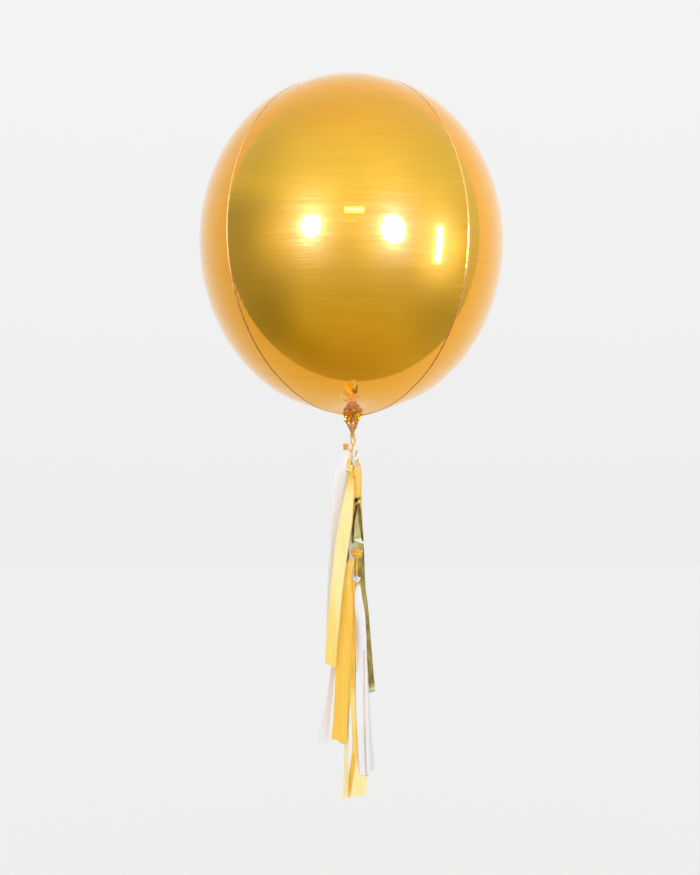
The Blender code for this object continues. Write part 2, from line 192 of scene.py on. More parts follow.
GOLD_FOIL_STRIPS = (
    # The first two foil strips are near-black and dark brown lines: painted shade along the edges of the
    # folded foil.
    Ribbon(-0.0095, layers=1, rows=(
        (502, 357.8, 1.6, 0.0), (510, 355.9, 1.8, 0.05), (520, 354.1, 2, 0.0), (530, 353.2, 2, 0.05),
        (543, 352.7, 1.8, 0.1),
    )),
    Ribbon(-0.0095, layers=1, rows=(
        (502, 358.6, 1.6, 0.1), (511, 359.5, 2.8, 0.25), (520, 360.2, 3.4, 0.2), (530, 361.5, 2.8, 0.25),
        (541, 362.7, 1.7, 0.1),
    )),
    Ribbon(-0.0080, layers=1, turn=0.1, rows=(
        (503, 358, 2, 0.35), (512, 357.8, 5, 0.5), (520, 358, 7, 0.6), (530, 358, 8.8, 0.68),
        (538, 358, 9.5, 0.7),
    )),
    # This band at full tone is a painted highlight across the fold.
    Ribbon(-0.0088, slant=4, layers=1, turn=0.0, rows=(
        (533, 358, 9.0, 1.0), (537, 358.2, 9.6, 1.0), (542, 358.5, 9.8, 1.0),
    )),
    Ribbon(-0.0070, slant=3, layers=1, rows=(
        (538, 357.6, 9.6, 0.55), (545, 357.6, 10.4, 0.62), (552, 357.8, 10, 0.6),
    )),
    Ribbon(0.0175, slant=-1, layers=1, rows=(
        (504, 358, 3, 0.3), (525, 358.5, 8, 0.3), (549, 358.7, 9.8, 0.35), (557, 358.9, 9.6, 0.3),
        (566, 359.2, 9.4, 0.45), (576, 359.9, 9.2, 0.3), (583, 361.3, 7.2, 0.4), (590, 362.8, 5.6, 0.45),
        (600, 364.8, 5.1, 0.45), (625, 367.2, 5, 0.35), (650, 369.1, 5.2, 0.45), (675, 370.8, 6, 0.35),
        # The row at 688 takes the full tone: a painted glint at the strip's curled end.
        (684, 371.5, 6.4, 0.3), (688, 371.8, 6.6, 1.0), (692, 371.9, 6.6, 0.5),
    )),
    Ribbon(0.0228, slant=3, layers=1, rows=(
        (504, 357.5, 4, 0.4), (530, 357, 6.5, 0.5), (580, 356.5, 6.5, 0.4), (630, 356, 6.5, 0.5),
        (671, 355.8, 6, 0.5),
    )),
    Ribbon(0.0203, slant=-3, layers=1, rows=(
        (504, 358.5, 4, 0.4), (540, 360, 7, 0.5), (600, 362.5, 7, 0.4), (650, 364, 7, 0.5),
        (680, 365, 6.5, 0.5),
    )),
)
ORANGE_STRIPS = (
    Ribbon(-0.0105, slant=5, turn=0.12, rows=(
        (556, 353.5, 5, 0.9), (562, 350.8, 7, 0.9), (569, 348.4, 8.5, 0.8), (576, 347.2, 9, 0.7),
        # The row at 582 is a painted highlight along a fold.
        (582, 346.9, 9, 0.95), (588, 347, 10, 0.6), (600, 347.3, 11.5, 0.5), (620, 346, 13.2, 0.5),
        (640, 344.8, 14.4, 0.5), (660, 343.4, 14.5, 0.5), (680, 342.2, 14, 0.45), (700, 341.2, 13.6, 0.5),
        (720, 340, 13.8, 0.5), (741, 338.5, 14.2, 0.5),
    )),
    Ribbon(-0.0090, slant=3, layers=2, rows=(
        (558, 352, 5, 0.2), (570, 349, 7, 0.1), (585, 348, 9, 0.1), (600, 348.8, 11, 0.3),
        (625, 348.6, 12, 0.4), (650, 348, 12, 0.5), (680, 346, 10, 0.4), (705, 344.5, 9, 0.4),
        (730, 343, 8, 0.6), (743, 342.6, 7.5, 0.6),
    )),
    Ribbon(-0.0094, layers=2, rows=(
        (575, 353, 4, 0.6), (600, 352.5, 5, 0.8), (625, 352.2, 6.5, 0.9), (650, 352.2, 6.6, 0.8),
        (680, 351.6, 5.6, 0.9), (696, 351.2, 3.6, 0.9), (706, 351, 1.4, 0.9),
    )),
    Ribbon(-0.0112, layers=1, rows=(
        (606, 354.2, 1.0, 0.5), (625, 354.8, 2.2, 0.4), (645, 354.6, 2.8, 0.35), (662, 354.2, 2.2, 0.35),
        (690, 353.6, 1.0, 0.5),
    )),
    Ribbon(0.0152, slant=3, rows=(
        (558, 353.5, 6, 0.5), (580, 350, 8.5, 0.4), (620, 346.5, 9, 0.5), (680, 343, 9, 0.5),
        (728, 341.5, 9, 0.5),
    )),
    Ribbon(0.0181, slant=-2, rows=(
        (558, 355, 6, 0.8), (600, 353.5, 9, 0.8), (650, 352.5, 8, 0.8), (690, 351.8, 6, 0.8),
    )),
)
WHITE_LOWER_STRIPS = (
    Ribbon(-0.0110, slant=1, turn=0.15, rows=(
        (584, 358, 4, 0.5), (592, 358.2, 6.5, 0.7), (600, 358.5, 8, 0.8), (615, 360.3, 9.5, 0.8),
        (640, 361.6, 9.5, 0.7), (670, 362, 10, 0.8), (700, 362, 11, 0.8), (730, 363, 11.5, 0.8),
        (760, 364.5, 11, 0.8), (775, 365, 9.5, 0.8),
    )),
    Ribbon(-0.0095, slant=-2, rows=(
        (586, 356.5, 3, 0.5), (600, 356.8, 5, 0.7), (620, 358.3, 6, 0.7), (650, 359.6, 7, 0.8),
        (700, 359.8, 8, 0.9), (740, 361, 7, 0.9), (773, 362, 6.5, 0.9),
    )),
    # These two thin strips, tan and peach-brown, are painted shade: dark edge lines along the strips in
    # front.
    Ribbon(-0.0126, layers=1, rows=(
        (632, 364.4, 0.9, 0.0), (665, 364.2, 1.2, 0.0), (700, 364.3, 1.3, 0.05), (740, 365, 1.3, 0.0),
        (776, 366.3, 1.2, 0.05),
    )),
    Ribbon(-0.0128, layers=1, rows=(
        (598, 356, 1.2, 0.12), (612, 356.4, 2.6, 0.14), (630, 356.9, 3.2, 0.14), (650, 357, 2.6, 0.16),
        (672, 356.8, 1.2, 0.2),
    )),
    Ribbon(0.0076, slant=3, rows=(
        (586, 356, 4, 1.0), (620, 347, 5, 1.0), (650, 337.5, 5, 1.0), (677, 332, 5, 1.0),
        (696, 329.8, 5.5, 1.0), (715, 326.8, 7, 1.0), (732, 323.7, 11, 1.0), (750, 320.2, 13, 1.0),
        (758, 318.6, 10, 1.0),
    )),
    Ribbon(0.0102, slant=-3, rows=(
        (586, 358, 4, 0.7), (610, 360.5, 6, 0.7), (650, 363, 7, 0.8), (700, 366, 7, 0.8),
        (740, 369, 6.5, 0.7), (758, 371.3, 5, 0.5), (770, 372.4, 4, 0.4),
    )),
    Ribbon(0.0128, slant=3, rows=(
        (586, 358, 4, 0.6), (610, 358.5, 6, 0.6), (650, 360, 8, 0.7), (700, 360.5, 8, 0.7),
        (752, 362, 8, 0.7),
    )),
)
YELLOW_LOWER_STRIPS = (
    Ribbon(-0.0099, slant=-2, turn=0.1, rows=(
        (597, 355.5, 4, 0.2), (620, 353.4, 6, 0.2), (645, 352.8, 6.5, 0.2), (680, 352.8, 6, 0.4),
        (700, 353.3, 6, 0.6), (715, 354, 6, 0.6), (730, 354.8, 5.6, 0.35), (745, 355.4, 5.6, 0.3),
        (756, 355.3, 6.6, 0.35), (765, 356.2, 12, 0.6), (772, 357.2, 18, 0.9), (784, 357.2, 18.8, 0.9),
        (796, 356.6, 19, 0.9),
    )),
    Ribbon(-0.0108, layers=1, rows=(
        (735, 354, 1.6, 0.1), (750, 353.6, 3, 0.0), (762, 352.8, 4.2, 0.0), (776, 351.4, 4.8, 0.0),
        (788, 349.8, 4.2, 0.1), (797, 348.3, 3.4, 0.3),
    )),
    Ribbon(-0.0040, slant=-2, layers=2, rows=(
        (597, 354.5, 4, 0.3), (620, 351, 5.5, 0.3), (650, 349, 6, 0.4), (680, 348, 5.5, 0.4),
        (700, 347.6, 4, 0.6), (715, 347.4, 3, 0.7), (730, 347.2, 2.8, 0.8), (750, 346.8, 3, 0.9),
        (770, 346, 3.2, 0.9), (785, 344.8, 3.4, 0.9), (799, 343.2, 3.8, 0.9),
    )),
    Ribbon(0.0046, layers=2, rows=(
        (597, 355, 4, 0.4), (640, 350, 6, 0.5), (690, 347.8, 4.5, 0.6), (730, 347.1, 3, 0.8),
        (780, 345.4, 3, 0.8),
    )),
    Ribbon(0.0052, slant=3, layers=2, rows=(
        (597, 356, 4, 0.4), (650, 354, 6, 0.5), (700, 354.5, 5, 0.7), (745, 355.6, 5, 0.7),
        (780, 357, 9, 0.8), (791, 357.5, 11, 0.8),
    )),
)
TASSELS = (
    Tassel(
        "tassel_white_upper", drop=0.0435, shift=0.0035, size=(0.0100, 0.0110, 0.0160), slot="white_tissue",
        loops=((62, 0.017), (80, 0.019), (35, 0.012), (-48, 0.015), (-66, 0.014), (140, 0.010)),
        ribbons=WHITE_UPPER_STRIPS,
    ),
    Tassel(
        "tassel_yellow", drop=0.0640, shift=0.0010, size=(0.0080, 0.0200, 0.0110), slot="yellow_tissue",
        loops=((100, 0.014), (60, 0.012), (150, 0.011)),
        tie_knot=(354.3, 477.0, -0.0195, 0.0068), ribbons=YELLOW_STRIPS,
    ),
    Tassel(
        "tassel_gold_foil", drop=0.1100, shift=0.0005, size=(0.0085, 0.0200, 0.0135), slot="gold_foil",
        loops=((150, 0.010), (35, 0.009)),
        ribbons=GOLD_FOIL_STRIPS,
    ),
    Tassel(
        "tassel_orange", drop=0.1990, shift=0.0010, size=(0.0190, 0.0250, 0.0150), slot="orange_tissue",
        loops=((25, 0.0105), (70, 0.0085), (120, 0.0085), (165, 0.0100), (-15, 0.0095)),
        ribbons=ORANGE_STRIPS,
    ),
    Tassel(
        "tassel_white_lower", drop=0.2450, shift=-0.0008, size=(0.0120, 0.0190, 0.0110), slot="white_tissue",
        loops=((35, 0.0085), (75, 0.0080), (120, 0.0085), (165, 0.0075)),
        ribbons=WHITE_LOWER_STRIPS,
    ),
    Tassel(
        "tassel_yellow_lower", drop=0.2690, shift=0.0000, size=(0.0075, 0.0085, 0.0110), slot="yellow_tissue",
        loops=((60, 0.009), (130, 0.009)),
        ribbons=YELLOW_LOWER_STRIPS,
    ),
)


def smooth_step(t):
    t = min(max(t, 0.0), 1.0)
    return t * t * (3.0 - 2.0 * t)


def smooth_route(points, step):
    """Points about that step apart on a smooth curve through the given ones."""
    points = [Vector(p) for p in points]
    ends = [2 * points[0] - points[1], *points, 2 * points[-1] - points[-2]]
    dense = []
    for before, a, b, after in zip(ends, ends[1:], ends[2:], ends[3:]):
        square = 2 * before - 5 * a + 4 * b - after
        cube = 3 * a - before - 3 * b + after
        for i in range(ROUTE_DENSITY):
            t = i / ROUTE_DENSITY
            dense.append(0.5 * (2 * a + (b - before) * t + square * t**2 + cube * t**3))
    dense.append(points[-1])
    lengths = [0.0]
    for a, b in zip(dense, dense[1:]):
        lengths.append(lengths[-1] + (b - a).length)
    count = max(2, round(lengths[-1] / step))
    route = []
    k = 0
    for i in range(count + 1):
        wanted = lengths[-1] * i / count
        while k < len(dense) - 2 and lengths[k + 1] < wanted:
            k += 1
        share = (wanted - lengths[k]) / (lengths[k + 1] - lengths[k])
        route.append(dense[k].lerp(dense[k + 1], min(share, 1.0)))
    return route


def turns(count):
    """The angles of that many even steps round a circle."""
    return [math.tau * i / count for i in range(count)]


def add_mesh(name, points, faces):
    mesh = bpy.data.meshes.new(name)
    mesh.from_pydata(points, [], faces)
    obj = bpy.data.objects.new(name, mesh)
    bpy.context.scene.collection.objects.link(obj)
    return obj


class Form:
    """Points and faces gathered from several shapes, which become one mesh object."""

    def __init__(self):
        self.points = []
        self.faces = []
        self.tones = []

    def add(self, points, faces, tone=0.5):
        first = len(self.points)
        self.points.extend(tuple(p) for p in points)
        self.faces.extend(tuple(first + i for i in face) for face in faces)
        self.tones.extend([tone] * len(points) if isinstance(tone, float) else tone)

    def add_object(self, name, sharp=180.0):
        obj = add_mesh(name, self.points, self.faces)
        mesh = obj.data
        attribute = mesh.attributes.new("tone", "FLOAT", "POINT")
        attribute.data.foreach_set("value", np.array(self.tones, np.float32))
        mesh.validate()
        mesh.shade_smooth()
        if sharp < 180.0:
            mesh.set_sharp_from_angle(angle=math.radians(sharp))
        return obj


def ring_faces(rows, columns, closed_rows=False):
    """Faces of a grid that closes on itself across its columns."""
    faces = []
    for i in range(rows if closed_rows else rows - 1):
        for j in range(columns):
            k = (j + 1) % columns
            n = (i + 1) % rows
            faces.append((i * columns + j, n * columns + j, n * columns + k, i * columns + k))
    return faces


def fan_faces(pole, first, columns, back=False):
    """Faces between a pole and the ring that starts at a point."""
    ring = [(first + j, first + (j + 1) % columns) for j in range(columns)]
    return [(pole, b, a) if back else (pole, a, b) for a, b in ring]


def add_tube(form, points, columns, poles, tone=0.5):
    """Rings of points one after another, closed at each end by a pole."""
    last = len(points)
    faces = ring_faces(last // columns, columns)
    faces += fan_faces(last, 0, columns) + fan_faces(last + 1, last - columns, columns, back=True)
    form.add([*points, *poles], faces, tone)


def tube_frames(route, closed=False):
    """(middle, side, other side) at each point of a route, turning as little as possible."""
    count = len(route)
    frames = []
    side = None
    for i, point in enumerate(route):
        before = route[i - 1] if i or closed else point
        after = route[(i + 1) % count] if i + 1 < count or closed else point
        along = (after - before).normalized()
        if side is None:
            side = along.orthogonal().normalized()
        side = (side - along * side.dot(along)).normalized()
        frames.append((point, side, along.cross(side)))
    return frames


def add_rope(form, route, diameter, closed=False, pitch=ROPE_PITCH):
    """A twisted rope along a route, with its strands standing out of it."""
    frames = tube_frames(route, closed)
    points = []
    walked = 0.0
    for i, (middle, side, other) in enumerate(frames):
        if i:
            walked += (middle - frames[i - 1][0]).length
        for a in turns(ROPE_COLUMNS):
            strand = abs(math.cos(ROPE_STRANDS / 2 * (a - math.tau * walked / pitch)))
            r = diameter / 2 * (1.0 - ROPE_GROOVE + ROPE_GROOVE * strand)
            points.append(middle + (side * math.cos(a) + other * math.sin(a)) * r)
    if closed:
        form.add(points, ring_faces(len(frames), ROPE_COLUMNS, closed_rows=True))
    else:
        add_tube(form, points, ROPE_COLUMNS, (frames[0][0], frames[-1][0]))


def trefoil(centre, size, turn):
    """A closed overhand knot of that size round a place, turned as the camera sees it."""
    route = []
    for a in turns(KNOT_STEPS):
        x = math.sin(a) + 2.0 * math.sin(2 * a)
        z = math.cos(a) - 2.0 * math.cos(2 * a)
        p = Vector((x / 6.0 * size[0], -math.sin(3 * a) / 2.0 * size[1], z / 6.0 * size[2]))
        p.rotate(Matrix.Rotation(turn, 3, "Y"))
        route.append(Vector(centre) + p)
    return route


# Camera


def make_camera():
    data = bpy.data.cameras.new("camera")
    camera = bpy.data.objects.new("camera", data)
    bpy.context.scene.collection.objects.link(camera)
    data.sensor_width = SENSOR
    data.lens = SENSOR * CAMERA_DISTANCE / (PIXEL_SIZE * IMAGE_HEIGHT)
    camera.location = (
        (IMAGE_WIDTH / 2 - TIE_PIXEL[0]) * PIXEL_SIZE,
        -CAMERA_DISTANCE,
        (TIE_PIXEL[1] - IMAGE_HEIGHT / 2) * PIXEL_SIZE,
    )
    camera.rotation_euler = (math.pi / 2, 0.0, 0.0)
    bpy.context.scene.camera = camera


# Cord


def make_tail_cord():
    """The hanging cord, which is tied off inside the last tassel's knot."""
    route = smooth_route(CORD_ROUTE, CORD_STEP)
    form = Form()
    add_rope(form, route, CORD_DIAMETER)
    cord = form.add_object("tail_cord_braid")
    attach(cord, "root")
    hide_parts("tail_cord")
    return cord


def make_neck_knot():
    """The cord's two windings round the neck, its loop, its side knot and the knot that joins them."""
    form = Form()
    reach = NECK_TIED_WIDTH / 2 + CORD_DIAMETER * 0.35
    pitch = CORD_DIAMETER * 0.85
    winding = []
    for i in range(WINDING_STEPS + 1):
        a = math.tau * WINDING_TURNS * i / WINDING_STEPS
        height = pitch * (WINDING_TOP - a / math.tau)
        winding.append(Vector((reach * math.sin(a), -reach * math.cos(a), height)))
    loop_top = -CORD_DIAMETER * 1.6
    half_height = LOOP_HEIGHT / 2
    half_width = (LOOP_WIDTH - CORD_DIAMETER) / 2
    loop = []
    for a in turns(LOOP_STEPS):
        x = LOOP_SHIFT + half_width * math.sin(a) * (1.0 + LOOP_DROP_SHAPE * math.cos(a))
        y = -reach + LOOP_SWING * math.sin(2 * a)
        loop.append(Vector((x, y, loop_top - half_height + half_height * math.cos(a))))
    join = Vector((CORD_ROUTE[0][0], CORD_ROUTE[0][1], -JOIN_KNOT_DROP))
    side = Vector(SIDE_KNOT)
    bottom = Vector((LOOP_SHIFT, -reach, loop_top - LOOP_HEIGHT))
    side_middle = (side + join) / 2 - Vector((0, 0, SIDE_CORD_SAG))
    knot_size = [s - CORD_DIAMETER * 0.9 for s in SIDE_KNOT_SIZE]
    join_size = [JOIN_KNOT_SIZE - CORD_DIAMETER * 0.75] * 3
    for route, share, closed in (
        (winding, 0.75, False),
        (loop, 1.05, True),
        (smooth_route([bottom, (bottom + join) / 2, join], CORD_STEP), 0.92, False),
        (smooth_route([side, side_middle, join], CORD_STEP), 0.9, False),
        (trefoil(side, knot_size, 0.35), 1.25, True),
        (trefoil(join, join_size, -0.4), 0.9, True),
    ):
        add_rope(form, route, CORD_DIAMETER * share, closed)
    knot = form.add_object("neck_knot_cord")
    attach(knot, "root")
    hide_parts("neck_tie_knot")
    return knot


# Balloon

GORE_COLUMNS = 48
COLUMN_CROWDING = 0.65
CROWN_ROWS = 150
FOOT_ROWS = 150
NECK_ROWS = 60
FULLNESS = 0.005
FULLNESS_POWER = 3.0
# How many degrees further out than in the CAD the seams lie, from crown to foot
SEAM_WIDENING = (-0.1, -0.3, 0.9, 1.65, 2.3, 2.8, 3.4, 2.2, 0.8)
WIDENING_AT = (0, 40, 60, 80, 100, 120, 140, 160, 180)
SEAM_SINK_CROWN = 0.0043
SEAM_SINK_FOOT = 0.0037
FOOT_LIFT = 0.0085
# The seam's welded edge: shares of its width and of its height, from side to side
SEAM_PROFILE = ((-1.0, 0.0), (-0.62, 0.45), (-0.45, 0.85), (0.0, 1.0), (0.45, 0.85), (0.62, 0.45), (1.0, 0.0))
SEAM_HALF_WIDTH = (0.00045, 0.00090)
SEAM_STANDS = (0.0008, 0.0013)
# How dull the seams are, 0 to 1, at these angles down from the crown
SEAM_TONE_AT = (0.85, 1.10, 1.30, 2.0)
SEAM_TONES = (0.9, 0.4, 0.3, 1.0)
PUCKER_DEPTH = 0.00018
PUCKER_REACH = 0.008
PUCKER_LENGTH = 0.0135
SLACK = 0.00018
WELD_WAVE = 0.00016
WELD_WAVE_LENGTH = 0.019
FOOT_FOLD = 0.0007
FOOT_CREASE = 0.0012
NECK_FOLDS = 7
NECK_TAPER = 1.15
NECK_EAR = 0.22
NECK_FOLD_DEPTH = 0.22
NECK_FLATNESS = 0.30
NECK_RIPPLE = 0.0014
NECK_BLEND = 0.14
NECK_SEAM_STEP = SEAM_HALF_WIDTH[1] / 0.03
# The tied end of the neck is painted dark with shade.
TIED_SHADE_TONE = 0.8
CROWN_SINK = 0.0050


def gore_columns():
    """(seam number, angle from the front gore's middle, share of the seam's height, side step)."""
    columns = []
    gore = math.tau / GORES
    for g in range(GORES):
        seam = gore * (g + 0.5)
        for side, height in SEAM_PROFILE:
            columns.append((g, seam, height, side))
        for i in range(1, GORE_COLUMNS):
            x = 2.0 * i / GORE_COLUMNS - 1.0
            share = (1.0 - COLUMN_CROWDING) * x + COLUMN_CROWDING * math.sin(math.pi / 2 * x)
            number = g if x < 0 else (g + 1) % GORES
            columns.append((number, seam + gore * (share + 1.0) / 2, 0.0, 0.0))
    return columns


def pucker(number, along, from_seam):
    """How far the film stands out beside a seam, where it is gathered into small ripples."""
    near = math.exp(-from_seam / PUCKER_REACH)
    if near < 0.02:
        return 0.0
    wander = 2.6 * noise.noise(Vector((along * 26.0, number * 7.3, 0.5)))
    strength = 0.45 + 1.1 * noise.noise(Vector((along * 9.0, number * 3.1, 4.0)))
    return PUCKER_DEPTH * max(strength, 0.0) * near * math.sin(math.tau * along / PUCKER_LENGTH + wander)


def neck_fold(angle, share):
    """-1 to 1: the sharp folds into which the film is gathered at the neck."""
    fold = NECK_FOLDS * angle / math.tau + 0.45 * share + 0.22 * math.sin(2 * angle + 1.0)
    return 2.0 * abs((fold % 1.0) * 2.0 - 1.0) - 1.0


def envelope_point(t, radius, height, column):
    """A point of the film, as seen from the middle of the envelope."""
    number, angle, seam, step = column
    widening = math.radians(float(np.interp(math.degrees(t), WIDENING_AT, SEAM_WIDENING)))
    lower = smooth_step((t - 1.35) / 0.7)
    half_width = SEAM_HALF_WIDTH[0] + (SEAM_HALF_WIDTH[1] - SEAM_HALF_WIDTH[0]) * lower
    stands = SEAM_STANDS[0] + (SEAM_STANDS[1] - SEAM_STANDS[0]) * lower
    a = angle + SEAM_YAW + widening * math.sin(2.0 * angle) + step * half_width / max(radius, 0.012)
    to_seam = abs(((angle / (math.tau / GORES) + 0.5) % 1.0) * 2.0 - 1.0)
    v = to_seam**FULLNESS_POWER
    crown = t < math.pi / 2
    reach, sink = (0.13, SEAM_SINK_CROWN) if crown else (0.12, SEAM_SINK_FOOT)
    near_foot = 1.0 if crown else 0.3 + 0.7 * smooth_step((radius - 0.045) / 0.05)
    height -= sink * v * near_foot * (1.0 - smooth_step((radius - 0.047) / reach))
    if crown:
        height -= CROWN_SINK * (1.0 - smooth_step(radius / 0.24))
    else:
        height += FOOT_LIFT * (1.0 - to_seam) ** 1.5 * (1.0 - smooth_step((radius - 0.03) / 0.10))
    r = radius * (1.0 + FULLNESS * v)
    along = t * (BALLOON_WIDTH / 2 + CROWN_RISE) / 2
    from_seam = (1.0 - to_seam) * math.pi / GORES * radius
    r += pucker(number, along, from_seam) * (1.0 - 0.6 * seam)
    r += stands * seam * (0.35 + 0.65 * smooth_step(radius / 0.12))
    place = Vector((r * math.sin(a), -r * math.cos(a), height))
    wave = WELD_WAVE * math.sin(math.tau * along / WELD_WAVE_LENGTH + number) * seam
    place += Vector((math.cos(a), math.sin(a), 0.0)) * wave
    out = place.normalized()
    place += out * SLACK * noise.noise(place * 11.0)
    foot = smooth_step((t - math.pi + 0.34) / 0.30)
    if foot > 0.0:
        crease = noise.noise(Vector((6.0 * math.sin(a), 6.0 * math.cos(a), 2.0)))
        place += out * foot * (FOOT_FOLD * neck_fold(a, 0.0) + FOOT_CREASE * crease)
    return place


def neck_shade_tone(a, share):
    """Painted shade: the folds' valleys are dull and dark brown, and further down all of the neck is."""
    fold = neck_fold(a + 0.5 * share, share)
    return 0.74 + 0.11 * (1.0 - fold) if fold < 2.1 * share - 0.55 else 0.0


def neck_point(ring_point, a, share):
    """A point of the gathered neck below a point of the foot's last ring."""
    half = NECK_WIDTH / 2 + (NECK_TIED_WIDTH / 2 - NECK_WIDTH / 2) * share**NECK_TAPER
    ear = 1.0 + NECK_EAR * (1.0 - share) ** 3 * abs(math.sin(2.0 * (a - SEAM_YAW))) ** 3
    x, y = math.sin(a), math.cos(a)
    crumple = noise.noise(Vector((x * 2.0, y * 2.0, share * 3.2)))
    small = noise.noise(Vector((x * 5.0, y * 5.0, share * 9.0 + 5.0)))
    crease = abs(noise.noise(Vector((x * 3.2 + 7.0, y * 3.2, share * 6.0))))
    loose = math.sin(math.pi * min(share * 1.05, 1.0))
    r = half * ear * (1.0 + (NECK_FOLD_DEPTH - 0.10 * share) * neck_fold(a + 0.5 * share, share))
    r *= 1.0 + loose * (0.26 * crumple + 0.14 * small - 0.50 * crease + 0.06)
    r = max(r, NECK_TIED_WIDTH / 2 * 0.78)
    bottom = CORD_DIAMETER * 1.35
    height = ring_point.z + (bottom - ring_point.z) * share + NECK_RIPPLE * loose * crumple
    aim = Vector((r * x, -r * y * (1.0 - NECK_FLATNESS * math.sin(math.pi * share)), height))
    start = Vector((ring_point.x, ring_point.y, height))
    return start.lerp(aim, smooth_step(share / NECK_BLEND))


def make_balloon():
    columns = gore_columns()
    equator = Vector((BALLOON_SHIFT, 0.0, EQUATOR))
    lean = Matrix.Rotation(BALLOON_LEAN, 3, "Y")
    half = BALLOON_WIDTH / 2
    shoulder = math.acos(NECK_WIDTH / BALLOON_WIDTH)
    profile = []
    for i in range(1, CROWN_ROWS + 1):
        t = math.pi / 2 * i / CROWN_ROWS
        profile.append((t, half * math.sin(t), CROWN_RISE * math.cos(t)))
    for i in range(1, FOOT_ROWS + 1):
        t = shoulder * i / FOOT_ROWS
        profile.append((math.pi / 2 + t, half * math.cos(t), -FOOT_DROP * math.sin(t)))
    points = []
    tones = []
    for t, radius, height in profile:
        weld = float(np.interp(t, SEAM_TONE_AT, SEAM_TONES))
        for column in columns:
            points.append(equator + lean @ envelope_point(t, radius, height, column))
            tones.append(weld if column[2] or column[3] else 0.0)
    foot_ring = points[-len(columns):]
    for i in range(1, NECK_ROWS + 1):
        share = i / NECK_ROWS
        for ring_point, (_, angle, _, side) in zip(foot_ring, columns):
            a = angle + SEAM_YAW
            points.append(neck_point(ring_point, a + side * NECK_SEAM_STEP, share))
            tones.append(neck_shade_tone(a, share))
    tied = NECK_TIED_WIDTH / 2 * 0.95
    bottom = -CORD_DIAMETER / 2
    for _, angle, _, side in columns:
        a = angle + SEAM_YAW + side * NECK_SEAM_STEP
        points.append(Vector((tied * math.sin(a), -tied * math.cos(a), bottom)))
        tones.append(TIED_SHADE_TONE)
    crown = equator + lean @ Vector((0.0, 0.0, CROWN_RISE))
    form = Form()
    poles = (crown, Vector((0.0, 0.0, bottom)))
    add_tube(form, points, len(columns), poles, [*tones, 0.0, TIED_SHADE_TONE])
    balloon = form.add_object("foil_envelope", sharp=70.0)
    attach(balloon, "root")
    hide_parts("balloon")
    return balloon


def mark_welds_and_neck_shade(balloon):
    """Gives the second material, the welds and the neck's painted shade, to the faces whose points all carry
    a tone.
    """
    mesh = balloon.data
    tones = np.zeros(len(mesh.vertices), np.float32)
    mesh.attributes["tone"].data.foreach_get("value", tones)
    for face in mesh.polygons:
        face.material_index = int(tones[list(face.vertices)].min() > 0.0)


# Tassels

RIBBON_COLUMNS = 9
RIBBON_STEP = 3.2
PAPER = 0.00014
ROOT_DEPTH = 0.0030
LAYER_LENGTH = 0.012
LAYER_GAP = 0.0007
FIRST_SEED = 40
END_FROM = 0.9
# A strip is narrow below this many pixels
NARROW = 5
THINNEST = 0.6
WIDE_RAG = 0.0009
NARROW_RAG = 0.0004
NARROW_RELIEF = 0.3
KNOT_ROWS = 28
KNOT_COLUMNS = 40
KNOT_FOLD = 0.18
KNOT_CRUMPLE = 0.30
BOW_STEPS = 22
# How far in front of a knot's middle its loops begin, as a share of its depth
LOOPS_FORWARD = 0.3
# The tone of the knot, the tone of the loops, and the angle in degrees over which an edge is sharp
# The foil's knot and loops take low tones: painted shade that makes them dark.
FOIL_LOOK = (0.1, 0.2, 40.0)
TISSUE_LOOK = (0.45, 0.6, 60.0)
# The cord round a knot: how far each turn drops and tilts
TIE_TURNS = ((0.0, 0.0009), (0.0015, -0.0007))
TIE_STEPS = 60
TIE_DIAMETER = 0.0017
TIE_PITCH = 0.005
TIE_KNOT_DIAMETER = 0.0019


def cord_point(height):
    """The place on the cord's route at that height."""
    route = smooth_route(CORD_ROUTE, CORD_SEARCH_STEP)
    for a, b in zip(route, route[1:]):
        if b.z <= height <= a.z:
            return a.lerp(b, (a.z - height) / (a.z - b.z))
    return route[0] if height > route[0].z else route[-1]


def place_at(px, py, depth):
    """The place that the camera sees at a pixel, at a depth behind the tie."""
    camera = bpy.context.scene.camera.location
    size = PIXEL_SIZE * (CAMERA_DISTANCE + depth) / CAMERA_DISTANCE
    x = camera.x + (px - IMAGE_WIDTH / 2) * size
    return Vector((x, depth, camera.z + (IMAGE_HEIGHT / 2 - py) * size))


def add_ribbon(form, rows, relief, cut):
    """A thin closed ribbon: each row is its middle, its half width across, its way through and its tone."""
    count = RIBBON_COLUMNS
    points = []
    tones = []
    for side in (-1, 1):
        for i, (middle, across, through, tone) in enumerate(rows):
            t = i / (len(rows) - 1)
            end = smooth_step((t - END_FROM) / (1.0 - END_FROM))
            for j in range(count):
                u = 2.0 * j / (count - 1) - 1.0
                lift = relief(u, t) + side * PAPER / 2
                points.append(middle + across * u + through * lift - Vector((0.0, 0.0, cut(u) * end)))
                tones.append(tone)
    size = len(rows) * count
    faces = []
    for i in range(len(rows) - 1):
        for j in range(count - 1):
            a, b = i * count + j, i * count + j + 1
            c, d = b + count, a + count
            faces.append((a, d, c, b))
            faces.append((size + a, size + b, size + c, size + d))
    left = [i * count for i in range(len(rows))]
    bottom = [size - count + j for j in range(count)]
    right = [i + count - 1 for i in reversed(left)]
    top = list(reversed(range(count)))
    for border in (left, bottom, right, top):
        for a, b in zip(border, border[1:]):
            faces.append((a, size + a, size + b, b))
    form.add(points, faces, tones)


